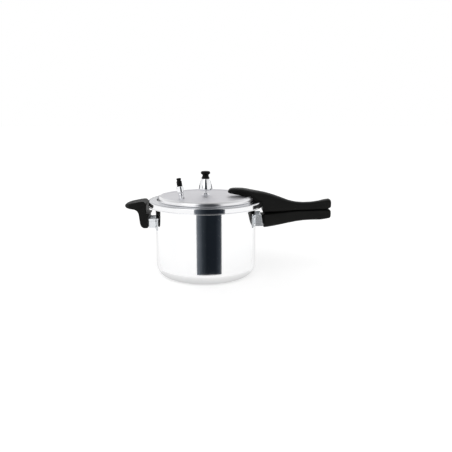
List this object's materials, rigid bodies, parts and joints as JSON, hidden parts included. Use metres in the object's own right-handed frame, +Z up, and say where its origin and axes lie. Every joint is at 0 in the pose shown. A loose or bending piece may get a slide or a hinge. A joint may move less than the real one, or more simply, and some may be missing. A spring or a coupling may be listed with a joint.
{
  "type": "stovetop pressure cooker",
  "caption": "Aluminium stovetop pressure cooker: drum pot with a twist-lock outer lid, weighted steam regulator, spring safety valve, paired long handle and side helper handle.",
  "frame": {"origin": "centre of the pot's flat base, on the surface it stands on", "axes": "+Z up along the pot's axis, +X along the long handles, the safety valve is on the -Y side"},
  "size_m": [0.462, 0.258, 0.235],
  "materials": {
    "polished_aluminium": "mirror-polished pot wall",
    "lid_aluminium": "satin, circular brushing, polished edge",
    "chrome_metal": "polished",
    "bracket_steel": "pressed sheet steel, plated",
    "brass": "turned",
    "black_phenolic": "satin moulded phenolic",
    "seal_rubber": "matt silicone rubber"
  },
  "bodies": {
    "pot": {"pot_body": "polished_aluminium", "lower_bracket": "bracket_steel", "lower_bracket_rivets": "chrome_metal", "lower_handle": "black_phenolic", "lower_handle_screw": "chrome_metal", "lower_handle_nut": "bracket_steel", "helper_bracket": "bracket_steel", "helper_bracket_rivets": "chrome_metal", "helper_handle": "black_phenolic", "helper_handle_screw": "chrome_metal", "helper_handle_nut": "bracket_steel"},
    "gasket": {"lid_gasket": "seal_rubber"},
    "lid": {"lid_shell": "lid_aluminium", "upper_bracket": "bracket_steel", "upper_handle": "black_phenolic", "upper_handle_screw": "chrome_metal", "upper_handle_nut": "bracket_steel", "vent_pipe": "chrome_metal", "vent_washer": "seal_rubber", "vent_nut": "chrome_metal", "valve_housing": "chrome_metal", "valve_washer": "seal_rubber", "valve_nut": "chrome_metal", "valve_collar": "chrome_metal", "valve_spring": "bracket_steel"},
    "regulator": {"regulator_weight": "chrome_metal", "regulator_needle": "brass", "regulator_knob": "black_phenolic", "regulator_screw": "bracket_steel"},
    "relief": {"valve_plunger": "brass", "valve_disc": "seal_rubber", "valve_cap": "black_phenolic"}
  },
  "joints": [
    {"name": "lid_lift", "type": "slide", "parent": "pot", "child": "gasket", "axis": [0, 0, 1], "range_m": [0, 0.15]},
    {"name": "lid_twist", "type": "hinge", "parent": "gasket", "child": "lid", "pos_m": [0, 0, 0.165], "axis": [0, 0, 1], "range_deg": [0, 30]},
    {"name": "regulator_lift", "type": "slide", "parent": "lid", "child": "regulator", "axis": [0, 0, 1], "range_m": [0, 0.03]},
    {"name": "valve_pull", "type": "slide", "parent": "lid", "child": "relief", "axis": [-0.1305, 0, 0.9914], "range_m": [0, 0.002], "stiffness_N_per_m": 1200, "springref_m": -0.003, "deforming": ["valve_spring"]}
  ]
}
